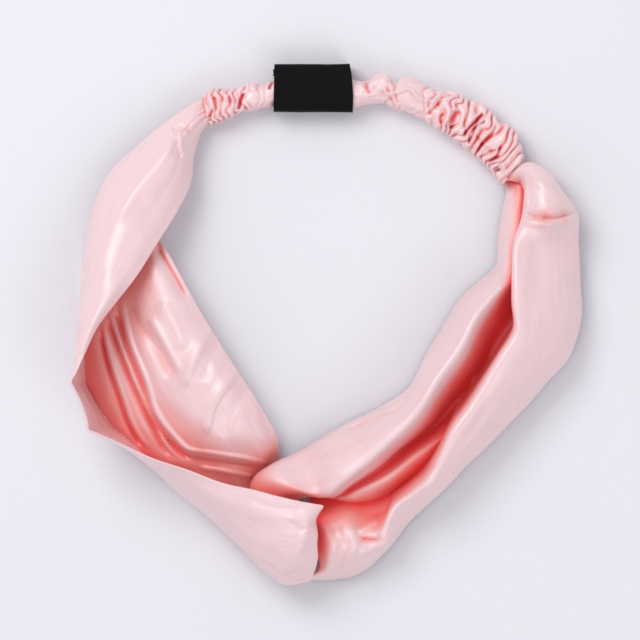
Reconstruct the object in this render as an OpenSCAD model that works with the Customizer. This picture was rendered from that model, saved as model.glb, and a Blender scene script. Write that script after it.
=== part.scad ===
// Knotted satin headband, lying relaxed on a table.
// Two satin bands, each folded in half, hook through each other at the front knot.
// Their four ends are gathered in pairs into a ruched casing that hides an elastic.
// A woven label is wrapped round the casing as a loose sleeve.
// +Z is up. The origin is the middle of the head opening, on the table.

/* [Ring] */
// Overall width of the relaxed ring, side to side
ring_w = 182; // [165:1:205]
// Overall length of the relaxed ring, knot to label
ring_l = 187; // [170:1:210]

/* [Bands] */
// Width of a band where it stands free, as it is slumped
band_w = 36; // [28:1:40]
// Thickness of a band, both plies and the air between them
band_t = 2.4; // [1.8:0.2:3]
// Width of the left band where it turns down through the knot
knot_w = 26; // [20:1:28]
// Width of the right band where it turns round inside the knot
loop_h = 20; // [16:1:24]
// Clearance between the two bands in the knot
knot_gap = 0.8; // [0.5:0.1:1.2]
// Radius at which the left band folds over and under the right one
fold_r = 4; // [3:0.5:5]

/* [Casing] */
// Width of the elastic
elastic_w = 8; // [6:0.5:9]
// Thickness of the elastic
elastic_t = 1; // [0.8:0.1:1.4]
// How much wider the ruched casing is than the elastic in it
casing_ease = 4.4; // [3.8:0.1:6]
// Width of the ruched casing
casing_w = elastic_w + casing_ease;
// Height of the ruched casing
casing_h = 9.4; // [9:0.2:12]
// Thickness of the casing's wall
casing_wall = 0.8; // [0.5:0.1:1]
// How far the ruffles stand out of the casing
ruffle = 1.2; // [0.4:0.1:1.5]
// Ruffles in each tenth of the casing's length
ruffles = 3; // [2:1:4]

/* [Label] */
// Length of the label along the casing
label_l = 28; // [20:1:34]
// Width of the flattened label sleeve
label_w = 17.6; // [16:0.2:20]
// Thickness of the woven label
label_t = 0.5; // [0.4:0.1:0.8]
// Clearance between the label and the casing, above and below
label_gap = 0.4; // [0.3:0.1:1]

/* [Sewing] */
// Diameter of the sewing thread
thread_d = 0.5; // [0.3:0.1:0.6]
// Thickness of a band's gathered end
tongue_t = 1.4; // [1:0.1:1.6]
// Clearance between the gathered ends, the elastic and the thread
sew_gap = 0.3; // [0.2:0.1:0.4]

/* [Hidden] */
$fn = 32;

satin = [0.95, 0.78, 0.78];
thread_pink = [0.93, 0.70, 0.70];
elastic_white = [0.94, 0.93, 0.90];
label_black = [0.06, 0.06, 0.07];

// ---- Levels above the table ----
// Under the label the casing keeps only this share of its ruffles.
ruffle_under_label = 0.1;
label_h = casing_h + 2 * (ruffle * ruffle_under_label + label_gap + label_t);
// Middle height of the casing, of the elastic in it and of the label round it
casing_z = max(casing_h / 2 + ruffle, label_h / 2 + thread_d);
// The left band's lower run lies on the table, and the right band's loop stands on that.
loop_lift = band_t + knot_gap;
// Underside of the left band's upper run, over the right band's loop
cover_lift = loop_lift + band_t / 2 + loop_h + knot_gap;
// Middle of the two gathered ends, above and below the elastic
tongue_rise = elastic_t / 2 + sew_gap + tongue_t / 2;

// ---- The knot, which is the hinge between the two bands ----
// Middle radius of the right band's loop, round the left band's upright run
loop_r = norm([knot_w / 2, band_t / 2]) + knot_gap + band_t / 2;
knot_x = -5;
knot_y = -ring_l / 2 + loop_r + band_t / 2;
// Heading of the left band as it runs into the knot
knot_heading = -12;

// ---- Small vector and curve functions ----
function unit(v) = v / norm(v);
function dir(az, el) = [cos(el) * cos(az), cos(el) * sin(az), sin(el)];
function at_xy(u, v) = [u * ring_w / 2, v * ring_l / 2, 0];
function gap(a, b) = norm([b[0] - a[0], b[1] - a[1], b[2] - a[2]]);
// The share t of the way from b to c on a smooth curve through a, b, c and d
function spline(a, b, c, d, t) =
    let (
        before = gap(a, b), here = gap(b, c), after = gap(c, d),
        slope_b = (c - a) * here / (before + here),
        slope_c = (d - b) * here / (here + after)
    )
    b * (1 + 2 * t) * (1 - t) * (1 - t) + slope_b * t * (1 - t) * (1 - t)
    + c * t * t * (3 - 2 * t) - slope_c * t * t * (1 - t);
// A smooth run through stops, with steps between each two
function smooth(stops, steps) = let (last = len(stops) - 1) [
    for (i = [0 : last - 1], j = [0 : steps - 1])
        spline(stops[max(i - 1, 0)], stops[i], stops[i + 1], stops[min(i + 2, last)], j / steps),
    stops[last]
];
function heading(line, i) = unit(line[min(i + 1, len(line) - 1)] - line[max(i - 1, 0)]);

// ---- Stops along a band ----
// A stop is [x, y, z, width, edge x, edge y, edge z, bulge]: the middle of the band, its width,
// the direction from its lower edge to its upper edge, and how far its middle bows outward.
function stop(p, w, edge, bulge) = [p.x, p.y, p.z, w, edge.x, edge.y, edge.z, bulge];
// A stop given by how far its lower edge is above the table, and by where its upper edge points
function stand(p, lift, w, az, el, bulge = 0) =
    stop([p.x, p.y, lift + band_t / 2 + w / 2 * sin(el)], w, dir(az, el), bulge);
function middle(s) = [s[0], s[1], s[2]];
function edge(s) = [s[4], s[5], s[6]];

// ---- Where the label sits; it touches the far end of the ring's length ----
label_v = 1 - label_w / ring_l;
label_x = -0.065 * ring_w / 2;
label_y = label_v * ring_l / 2;

// ---- Where the casing's centreline goes, from the left band to the right one ----
casing_stops = [
    at_xy(-0.462, 0.822), at_xy(-0.352, 0.872), at_xy(-0.22, 0.896), at_xy(-0.065, label_v),
    at_xy(0.095, 0.895), at_xy(0.22, 0.886), at_xy(0.352, 0.853), at_xy(0.475, 0.80),
    at_xy(0.577, 0.738), at_xy(0.66, 0.655), at_xy(0.715, 0.575)
];
casing_line = smooth(casing_stops, 2 * ruffles);
casing_last = len(casing_line) - 1;
left_mouth = casing_line[0];
right_mouth = casing_line[casing_last];
// Headings out of the casing's two mouths
left_out = -heading(casing_line, 0);
right_out = heading(casing_line, casing_last);
left_az = atan2(left_out.y, left_out.x);
right_az = atan2(right_out.y, right_out.x);

// How far the bands' gathered ends reach into the casing
tongue_in = 7;
// Stops along a gathered end: inside the casing, at its mouth, and outside, where the band opens out
tongue_reaches = [-tongue_in, -1, 3];
// A gathered end is as wide as the elastic.
function tongue(mouth, out, az, reach, side, turn) =
    stop([mouth.x + out.x * reach, mouth.y + out.y * reach, casing_z + side * tongue_rise],
        elastic_w, dir(az + turn, 0), 0);

// ---- The left band: over the outside of the ring, down through the knot, back along the inside ----
knot_in = dir(knot_heading, 0);
knot_edge = knot_heading + 90;
// A corner stop of the left band in the knot, at an angle round its fold
function fold(z, turn) =
    let (along = fold_r * (cos(turn) - 1))
    stop([knot_x + knot_in.x * along, knot_y + knot_in.y * along, z + fold_r * sin(turn)],
        knot_w, dir(knot_edge, 0), 0);
left_stops = [
    for (reach = tongue_reaches) tongue(left_mouth, left_out, left_az, reach, 1, 90),
    stand(at_xy(-0.582, 0.70), 11, band_w * 0.45, -50, 0, 2),
    stand(at_xy(-0.665, 0.565), 13, band_w * 0.73, -32, 8, 4),
    stand(at_xy(-0.755, 0.406), 12, band_w * 0.86, -20, 18, 4),
    stand(at_xy(-0.838, 0.214), 8, band_w * 0.90, -12, 38, 3),
    stand(at_xy(-0.915, 0.02), 2, band_w * 0.92, -2, 66, 2),
    stand(at_xy(-0.972, -0.19), 0, band_w * 0.92, 10, 86, 1),
    stand(at_xy(-0.905, -0.39), 0, band_w * 0.94, 45, 86, 1),
    stand(at_xy(-0.70, -0.53), 0, band_w * 0.92, 64, 76, 1),
    stand(at_xy(-0.49, -0.63), 1, band_w * 0.9, 64, 66, 2),
    stand(at_xy(-0.335, -0.745), 10, band_w * 0.88, 66, 44, 2),
    stand(at_xy(-0.22, -0.81), cover_lift, band_w * 0.86, 74, 5),
    fold(cover_lift + band_t / 2 - fold_r, 90),
    fold(cover_lift + band_t / 2 - fold_r, 45),
    fold(cover_lift + band_t / 2 - fold_r, 0),
    fold(band_t / 2 + fold_r, 0),
    fold(band_t / 2 + fold_r, -45),
    fold(band_t / 2 + fold_r, -90),
    stand(at_xy(-0.25, -0.765), 0.2, knot_w, 64, 0),
    stand(at_xy(-0.37, -0.60), 0.5, band_w * 0.85, 42, 0),
    stand(at_xy(-0.46, -0.412), 0.3, band_w * 1.15, 33, 8),
    stand(at_xy(-0.595, -0.187), 0, band_w * 1.22, 31, 18),
    stand(at_xy(-0.70, -0.005), 0, band_w * 1.1, 24, 22),
    stand(at_xy(-0.755, 0.176), 0, band_w * 0.8, 8, 14),
    stand(at_xy(-0.765, 0.406), 1, band_w * 0.64, -12, 6),
    stand(at_xy(-0.66, 0.62), 2, band_w * 0.46, -38, 0),
    for (k = [2 : -1 : 0]) tongue(left_mouth, left_out, left_az, tongue_reaches[k], -1, 90)
];

// ---- The right band: down the inside of the ring, round the knot, back up the outside ----
// A stop of the right band's loop, at an angle round the knot. Its lower edge is splayed
// outward by the given distance.
function loop(turn, splay = 0) =
    stand([knot_x + (loop_r + splay / 2) * cos(turn), knot_y + (loop_r + splay / 2) * sin(turn)],
        loop_lift, norm([loop_h, splay]), turn + 180, atan2(loop_h, splay));
loop_splay = [14, 13, 10, 6, 3, 1, 0, 0, 0, 0];
right_stops = [
    for (reach = tongue_reaches) tongue(right_mouth, right_out, right_az, reach, -1, 90),
    stand(at_xy(0.735, 0.40), 1, band_w * 0.42, 2, 20),
    stand(at_xy(0.71, 0.235), 0, band_w * 0.66, -15, 46),
    stand(at_xy(0.615, 0.075), 0, band_w * 0.9, -32, 54, 1),
    stand(at_xy(0.488, -0.10), 0, band_w, -38, 56, 1),
    stand(at_xy(0.315, -0.31), 0, band_w * 0.95, -44, 54, 1),
    stand(at_xy(0.13, -0.455), 1, band_w * 0.82, -52, 50, 1),
    for (k = [0 : 9]) loop(88 + 20 * k, loop_splay[k]),
    stand([knot_x + loop_r * 0.86, knot_y - loop_r * 0.80], loop_lift * 0.5, loop_h * 1.1, 114, 84),
    stand(at_xy(0.255, -0.775), 0, band_w * 0.8, 128, 80, 1),
    stand(at_xy(0.396, -0.64), 0, band_w * 0.9, 133, 78, 1),
    stand(at_xy(0.555, -0.42), 0, band_w, 138, 68, 2),
    stand(at_xy(0.72, -0.205), 0, band_w, 146, 54, 2),
    stand(at_xy(0.85, -0.02), 0, band_w, 162, 50, 2),
    stand(at_xy(0.866, 0.182), 2, band_w * 0.92, 177, 42, 2),
    stand(at_xy(0.846, 0.375), 7, band_w * 0.72, 196, 25, 2),
    stand(at_xy(0.80, 0.50), 11, band_w * 0.42, 212, 5, 1),
    for (k = [2 : -1 : 0]) tongue(right_mouth, right_out, right_az, tongue_reaches[k], 1, -90)
];

// ---- Sweeps ----
band_steps = 3;
left_run = smooth(left_stops, band_steps);
right_run = smooth(right_stops, band_steps);
// Places across a band's width, from its lower edge to its upper edge
across = [-1, -0.9, -0.55, 0, 0.55, 0.9, 1];
// The edges are rounded to this share of the thickness.
edge_share = 0.5;
function run_heading(run, i) =
    unit(middle(run[min(i + 1, len(run) - 1)]) - middle(run[max(i - 1, 0)]));
// [outward direction, edge direction] of a band at a stop, both square to the band's run
function band_frame(run, i) =
    let (t = run_heading(run, i), n = unit(cross(t, edge(run[i])))) [n, cross(n, t)];
// A point of a band: a is the place across it, out is how far it is from the band's middle face
function band_point(run, i, a, out) =
    let (s = run[i], f = band_frame(run, i))
    middle(s) + f[1] * (a * s[3] / 2) + f[0] * (s[7] * (1 - a * a) + out);
function thick(run, i) = len_share(i, len(run) - 1) * tongue_t
    + (1 - len_share(i, len(run) - 1)) * band_t;
// 1 at the gathered ends, 0 where the band has opened out
function len_share(i, last) =
    let (from_end = min(i, last - i)) max(0, 1 - max(0, from_end - band_steps) / band_steps);
function band_ring(run, i) = let (half = thick(run, i) / 2) [
    for (a = across) band_point(run, i, a, half * (abs(a) == 1 ? edge_share : 1)),
    for (k = [len(across) - 1 : -1 : 0])
        band_point(run, i, across[k], -half * (abs(across[k]) == 1 ? edge_share : 1))
];
// One closed solid through rings of equally many points, capped at both ends
module skin(rings) {
    n = len(rings[0]);
    last = len(rings) - 1;
    polyhedron(
        points = [for (r = rings) each r],
        faces = [
            [for (k = [n - 1 : -1 : 0]) k],
            [for (k = [0 : n - 1]) last * n + k],
            for (i = [0 : last - 1], k = [0 : n - 1])
                let (a = i * n + k, b = i * n + (k + 1) % n)
                each [[a, b, a + n], [b, b + n, a + n]]
        ],
        convexity = 10
    );
}
// A round thread along a line of points
thread_sides = 6;
module thread_along(line) {
    skin([
        for (i = [0 : len(line) - 1])
            let (t = heading(line, i), side = unit(cross(t, [0.1, 0.2, 1])), up = cross(side, t))
            [for (k = [0 : thread_sides - 1])
                let (turn = 360 * k / thread_sides)
                line[i] + (side * cos(turn) + up * sin(turn)) * thread_d / 2]
    ]);
}
module band(run) {
    skin([for (i = [0 : len(run) - 1]) band_ring(run, i)]);
}

// ---- The closing seam of a band, half sunk into the face that is turned away ----
seam_place = -0.8;
module band_seam(run) {
    thread_along([
        for (i = [band_steps * 2 : 2 : len(run) - 1 - band_steps * 2])
            band_point(run, i, seam_place, -thick(run, i) / 2)
    ]);
}

// ---- Loops of thread round a band's gathered ends ----
stack_h = 2 * tongue_rise + tongue_t;
loop_inner_w = elastic_w + 2 * sew_gap;
loop_inner_h = stack_h + 2 * sew_gap;
module loop_outline(grow) {
    square([loop_inner_w + 2 * grow, loop_inner_h], center = true);
    square([loop_inner_w, loop_inner_h + 2 * grow], center = true);
    for (sx = [-1, 1], sy = [-1, 1])
        translate([sx * loop_inner_w / 2, sy * loop_inner_h / 2]) circle(max(grow, 0.01));
}
module thread_loops(mouth, out_az, first, count, pitch) {
    for (i = [0 : count - 1])
        translate([mouth.x, mouth.y, casing_z])
            rotate([0, 0, out_az])
                translate([-first - i * pitch, 0, 0])
                    rotate([90, 0, 90])
                        linear_extrude(thread_d)
                            difference() {
                                loop_outline(thread_d);
                                square([loop_inner_w, loop_inner_h], center = true);
                            }
}
gather_first = 1.2;
gather_pitch = 0.7;
stitch_first = 4;
stitch_pitch = 1.2;
module gather_thread(mouth, out_az) { thread_loops(mouth, out_az, gather_first, 3, gather_pitch); }
module elastic_stitches(mouth, out_az) { thread_loops(mouth, out_az, stitch_first, 3, stitch_pitch); }

// ---- The casing ----
// Number of points round the casing, and how square its outline is
casing_sides = 12;
squareness = 6;
function rounder(v) = sign(v) * pow(abs(v), 2 / squareness);
function outline(a, b, k) =
    let (turn = 360 * k / casing_sides)
    [a * rounder(cos(turn)), b * rounder(sin(turn))];
// The ruffles die away under the label, so that it can slide.
smooth_reach = label_l / 2 + 10;
ruffle_ramp = 8;
function ruffle_here(x) = ruffle * min(1, max(ruffle_under_label, (abs(x - label_x) - smooth_reach) / ruffle_ramp));
function casing_grow(i) =
    let (p = casing_line[i]) ruffle_here(p.x) * (0.5 + 0.5 * cos(i * 180));
function casing_ring(i, a, b) =
    let (p = casing_line[i], t = heading(casing_line, i))
    [for (k = [0 : casing_sides - 1])
        let (o = outline(a, b, k))
        [p.x - t.y * o.x, p.y + t.x * o.x, casing_z + o.y]];
module elastic_casing() {
    color(satin) {
        n = casing_sides;
        rings = casing_last + 1;
        outer = [for (i = [0 : casing_last])
            let (g = casing_grow(i)) each casing_ring(i, casing_w / 2 + g, casing_h / 2 + g)];
        inner = [for (i = [0 : casing_last])
            each casing_ring(i, casing_w / 2 - casing_wall, casing_h / 2 - casing_wall)];
        shift = rings * n;
        polyhedron(
            points = concat(outer, inner),
            faces = [
                for (i = [0 : rings - 2], k = [0 : n - 1])
                    let (a = i * n + k, b = i * n + (k + 1) % n)
                    each [
                        [b, a, a + n], [b, a + n, b + n],
                        [shift + a, shift + b, shift + a + n], [shift + b, shift + b + n, shift + a + n]
                    ],
                for (k = [0 : n - 1])
                    let (b = (k + 1) % n, e = (rings - 1) * n)
                    each [
                        [shift + k, k, b], [shift + k, b, shift + b],
                        [e + b, e + k, shift + e + k], [shift + e + b, e + b, shift + e + k]
                    ]
            ],
            convexity = 10
        );
    }
}
module casing_seam() {
    color(thread_pink)
        thread_along([
            for (i = [1 : 2 : casing_last - 1])
                [casing_line[i].x, casing_line[i].y,
                    casing_z - casing_h / 2 + casing_wall + thread_d / 2 + 0.05]
        ]);
}

// ---- The elastic, flat in the casing, its ends between the bands' gathered ends ----
function elastic_side(side) = [
    for (i = [2 : 2 : casing_last - 2])
        let (p = casing_line[i], t = heading(casing_line, i))
        [p.x - side * t.y * elastic_w / 2, p.y + side * t.x * elastic_w / 2]
];
module elastic_strip() {
    color(elastic_white)
        translate([0, 0, casing_z - elastic_t / 2])
            linear_extrude(elastic_t)
                let (near = elastic_side(1), far = elastic_side(-1))
                    polygon(concat(near, [for (k = [len(far) - 1 : -1 : 0]) far[k]]));
}

// ---- The label: a woven strip wrapped into a flattened sleeve ----
label_corner = 2;
module rounded(w, h, r) {
    square([w - 2 * r, h], center = true);
    square([w, h - 2 * r], center = true);
    for (sx = [-1, 1], sy = [-1, 1])
        translate([sx * (w / 2 - r), sy * (h / 2 - r)]) circle(r);
}
module wrap_label() {
    color(label_black)
        translate([label_x - label_l / 2, label_y, casing_z])
            rotate([90, 0, 90])
                linear_extrude(label_l)
                    difference() {
                        rounded(label_w, label_h, label_corner);
                        rounded(label_w - 2 * label_t, label_h - 2 * label_t, label_corner - label_t);
                    }
}
// The stitches that close the sleeve run along its underside, half sunk into it.
label_stitch_l = 2;
label_stitch_pitch = 3;
label_seam_y = 4;
module label_seam_thread() {
    count = floor((label_l - 2) / label_stitch_pitch);
    color(label_black)
        for (i = [0 : count - 1])
            translate([
                label_x + (i - (count - 1) / 2) * label_stitch_pitch - label_stitch_l / 2,
                label_y + label_seam_y, casing_z - label_h / 2
            ])
                rotate([0, 90, 0]) cylinder(d = thread_d, h = label_stitch_l);
}

module left_band() { color(satin) band(left_run); }
module right_band() { color(satin) band(right_run); }
module left_band_seam() { color(thread_pink) band_seam(left_run); }
module right_band_seam() { color(thread_pink) band_seam(right_run); }
module left_gather_thread() { color(thread_pink) gather_thread(left_mouth, left_az); }
module right_gather_thread() { color(thread_pink) gather_thread(right_mouth, right_az); }
module left_elastic_stitches() { color(thread_pink) elastic_stitches(left_mouth, left_az); }
module right_elastic_stitches() { color(thread_pink) elastic_stitches(right_mouth, right_az); }

left_band();
left_band_seam();
left_gather_thread();
left_elastic_stitches();
right_band();
right_band_seam();
right_gather_thread();
right_elastic_stitches();
elastic_casing();
casing_seam();
elastic_strip();
wrap_label();
label_seam_thread();
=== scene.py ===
"""Knotted satin headband lying on a table: two satin bands hooked through each other at the
front, gathered at the back into a ruched elastic casing that carries a black woven label."""
import math

import bpy
import numpy as np
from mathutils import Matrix, Vector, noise
from mathutils.bvhtree import BVHTree


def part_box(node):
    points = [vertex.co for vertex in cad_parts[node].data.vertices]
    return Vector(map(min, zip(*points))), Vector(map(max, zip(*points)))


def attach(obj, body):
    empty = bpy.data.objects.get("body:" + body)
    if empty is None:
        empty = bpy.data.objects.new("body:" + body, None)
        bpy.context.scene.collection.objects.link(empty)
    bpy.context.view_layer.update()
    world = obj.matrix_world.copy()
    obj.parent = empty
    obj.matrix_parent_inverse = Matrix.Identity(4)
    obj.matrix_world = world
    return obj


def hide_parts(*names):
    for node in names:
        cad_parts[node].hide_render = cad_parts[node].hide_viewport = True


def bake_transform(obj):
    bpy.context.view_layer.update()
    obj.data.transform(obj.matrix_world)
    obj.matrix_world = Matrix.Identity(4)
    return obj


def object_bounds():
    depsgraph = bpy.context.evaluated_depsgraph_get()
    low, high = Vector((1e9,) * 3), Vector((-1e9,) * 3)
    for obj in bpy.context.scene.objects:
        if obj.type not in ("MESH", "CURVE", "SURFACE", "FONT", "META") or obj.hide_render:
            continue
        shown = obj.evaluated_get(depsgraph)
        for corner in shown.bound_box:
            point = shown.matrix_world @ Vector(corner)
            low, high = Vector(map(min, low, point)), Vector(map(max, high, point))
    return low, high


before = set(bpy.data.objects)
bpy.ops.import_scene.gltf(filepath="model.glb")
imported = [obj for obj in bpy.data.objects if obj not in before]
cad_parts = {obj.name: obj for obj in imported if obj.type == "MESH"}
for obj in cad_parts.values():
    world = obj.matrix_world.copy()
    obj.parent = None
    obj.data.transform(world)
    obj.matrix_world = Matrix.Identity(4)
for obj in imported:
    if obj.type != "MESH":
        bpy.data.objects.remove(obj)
cad_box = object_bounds()

MM = 0.001
# The bands' sections are written for this outline, in mm, and follow the frame's if it changes.
DRAWN_W, DRAWN_L = 182.6, 187.0
# The drawn outline's zero lies this far left of the frame's middle, in metres.
DRAWN_SHIFT = 0.0002
cad_low, cad_high = (np.array(corner) for corner in cad_box)
CENTRE = (cad_low + cad_high) / 2
FIT = np.array([
    (cad_high[0] - cad_low[0]) / MM / DRAWN_W,
    (cad_high[1] - cad_low[1]) / MM / DRAWN_L,
    1.0,
])
ORIGIN = np.array([CENTRE[0] - DRAWN_SHIFT, CENTRE[1], cad_low[2]])


def place(points):
    """Millimetres in the drawn outline to metres in the frame."""
    return np.asarray(points, float) * FIT * MM + ORIGIN


# ---------------------------------------------------------------- curves and surfaces
def run_of(points):
    """How far along a line of points each one lies."""
    return np.concatenate([[0], np.cumsum(np.linalg.norm(np.diff(points, axis=0), axis=1))])


def spline(stops, count, steady=False):
    """Count points, evenly spaced, on a smooth curve through the stops, which may be nested.
    A steady curve gives each gap between stops the same number of points."""
    stops = np.asarray(stops, float)
    flat = stops.reshape(len(stops), -1)
    gaps = np.linalg.norm(np.diff(flat, axis=0), axis=1) + 1e-9
    at = np.concatenate([[0], np.cumsum(gaps)])
    slopes = np.gradient(flat, at, axis=0) if len(stops) > 2 else np.repeat(
        np.diff(flat, axis=0) / gaps[:, None], 2, axis=0)
    where = np.linspace(0, at[-1], count)
    if steady:
        where = np.interp(np.linspace(0, len(stops) - 1, count), range(len(stops)), at)
    k = np.clip(np.searchsorted(at, where, side="right") - 1, 0, len(stops) - 2)
    h = gaps[k][:, None]
    t = ((where - at[k])[:, None]) / h
    out = (flat[k] * (1 + 2 * t) * (1 - t) ** 2 + slopes[k] * h * t * (1 - t) ** 2
           + flat[k + 1] * t * t * (3 - 2 * t) - slopes[k + 1] * h * t * t * (1 - t))
    return out.reshape((count,) + stops.shape[1:])


def loft(sections, along, across):
    """A grid [along, across, 3] through sections, each a list of points from edge to edge, and
    the share of the run at which each section lies."""
    most = max(len(section) for section in sections)
    wide = np.array([spline(widen(section, most), across, steady=True) for section in sections])
    at = run_of(wide.reshape(len(wide), -1))
    return spline(wide, along), at / at[-1]


def widen(section, most):
    """Splits a section's first gap until it has as many points as the fullest one."""
    extra = most - len(section)
    first, second = np.array(section[0], float), np.array(section[1], float)
    inner = [list(first + (second - first) * (k + 1) / (extra + 1)) for k in range(extra)]
    return [section[0]] + inner + list(section[1:])


def normals_of(grid):
    run = np.gradient(grid, axis=0)
    over = np.gradient(grid, axis=1)
    n = np.cross(run, over)
    return n / (np.linalg.norm(n, axis=2, keepdims=True) + 1e-12)


def smoothstep(a, b, x):
    t = np.clip((x - a) / (b - a), 0, 1)
    return t * t * (3 - 2 * t)


def along_line(points, line):
    """Signed distance in plan to a polyline, left of it positive, and the share of it passed."""
    line = np.asarray(line, float)[:, :2]
    p = points[..., :2]
    best = np.full(p.shape[:-1], 1e9)
    side = np.ones(p.shape[:-1])
    share = np.zeros(p.shape[:-1])
    lengths = np.linalg.norm(np.diff(line, axis=0), axis=1)
    total = lengths.sum()
    passed = 0.0
    for a, b, length in zip(line[:-1], line[1:], lengths):
        d = (b - a) / length
        t = np.clip(((p - a) @ d), 0, length)
        away = p - (a + t[..., None] * d)
        dist = np.linalg.norm(away, axis=-1)
        near = dist < best
        best = np.where(near, dist, best)
        side = np.where(near, np.sign(d[0] * away[..., 1] - d[1] * away[..., 0]), side)
        share = np.where(near, (passed + t) / total, share)
        passed += length
    return best * side, share


def crease(grid, line, depth, near, far, rows=(0.0, 1.0), ridge=0.0, fade=0.15, mask=1.0):
    """Presses a fold into a grid along a line drawn in plan: sharp on the line's left, within
    near, and soft on its right, within far. ridge raises the sharp side's lip, and a negative
    depth makes a ridge of the fold itself."""
    fine = spline(np.asarray(line, float), 40)
    away, share = along_line(grid, fine)
    ends = smoothstep(0, fade, share) * smoothstep(1, 1 - fade, share)
    width = np.where(away > 0, near, far)
    dip = np.exp(-(away / width) ** 2)
    lip = np.exp(-((away - near * 1.9) / (near * 1.1)) ** 2)
    u = np.linspace(0, 1, grid.shape[0])[:, None]
    here = smoothstep(rows[0] - 0.01, rows[0] + 0.01, u)
    here = here * smoothstep(rows[1] + 0.01, rows[1] - 0.01, u)
    grid[..., 2] += (-depth * dip + ridge * lip) * ends * here * mask


def wrinkles(grid, amount, run_scale, cross_scale, seed):
    """Soft uneven folds that run along the grid; amount is a number or a grid of numbers."""
    rows, cols = grid.shape[:2]
    lengths = run_of(grid[:, cols // 2])
    widths = run_of(grid[rows // 2])
    field = np.array([
        [noise.noise(Vector((s / run_scale, w / cross_scale, seed))) for w in widths] for s in lengths
    ])
    grid += normals_of(grid) * (field * amount)[..., None]


# ---------------------------------------------------------------- meshes
def lay_weave(mesh, along, across):
    """UVs in metres on a mesh of rings: how far along it each ring lies, and how far round."""
    uv = mesh.uv_layers.new(name="cloth")
    index = np.zeros(len(mesh.loops), np.int64)
    mesh.loops.foreach_get("vertex_index", index)
    index %= len(along) * len(across)
    coords = np.stack([along[index // len(across)], across[index % len(across)]], 1)
    uv.data.foreach_set("uv", coords.astype(np.float32).ravel())


def cloth_mesh(name, grid, thick):
    """A closed band of cloth of the given thickness round a grid, with rounded edges."""
    rows, cols = grid.shape[:2]
    n = normals_of(grid)
    widths = np.concatenate([
        np.zeros((rows, 1)), np.cumsum(np.linalg.norm(np.diff(grid, axis=1), axis=2), axis=1)], axis=1)
    to_edge = np.minimum(widths, widths[:, -1:] - widths)
    round_off = np.clip(1 - to_edge / thick, 0, 1)
    half = thick / 2 * np.sqrt(np.clip(1 - round_off ** 2, 0.02, 1))
    top = grid + n * half[..., None]
    bottom = grid - n * half[..., None]
    ring = np.concatenate([top, bottom[:, ::-1]], axis=1)
    sides = ring.shape[1]
    verts = place(ring.reshape(-1, 3))
    faces = []
    for i in range(rows - 1):
        for k in range(sides):
            a, b = i * sides + k, i * sides + (k + 1) % sides
            faces.append((a, a + sides, b + sides, b))
    faces.append(tuple(range(sides)))
    faces.append(tuple((rows - 1) * sides + k for k in range(sides - 1, -1, -1)))
    mesh = bpy.data.meshes.new(name)
    mesh.from_pydata(verts.tolist(), [], faces)
    across = np.concatenate([widths.mean(0), widths.mean(0)[::-1]])
    lay_weave(mesh, run_of(grid[:, cols // 2]) * MM, across * MM)
    obj = finish_mesh(name, mesh)
    obj["rows"], obj["sides"] = rows, sides
    return obj


def finish_mesh(name, mesh):
    mesh.validate()
    mesh.update()
    mesh.shade_smooth()
    obj = bpy.data.objects.new(name, mesh)
    bpy.context.scene.collection.objects.link(obj)
    return obj


def tube_mesh(name, rings):
    """A mesh through rings of points in metres, with capped ends."""
    rings = np.asarray(rings, float)
    rows, sides = rings.shape[:2]
    faces = []
    for i in range(rows - 1):
        for k in range(sides):
            a, b = i * sides + k, i * sides + (k + 1) % sides
            faces.append((a, b, b + sides, a + sides))
    faces.append(tuple(range(sides - 1, -1, -1)))
    faces.append(tuple((rows - 1) * sides + k for k in range(sides)))
    mesh = bpy.data.meshes.new(name)
    mesh.from_pydata(rings.reshape(-1, 3).tolist(), [], faces)
    lay_weave(mesh, run_of(rings.mean(1)), run_of(rings[rows // 2]))
    return finish_mesh(name, mesh)


def even(a, b, count):
    """Count points from a to b."""
    return [list(np.array(a) + (np.array(b) - np.array(a)) * k / (count - 1)) for k in range(count)]


GOLDEN_ANGLE = 2.399963


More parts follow.
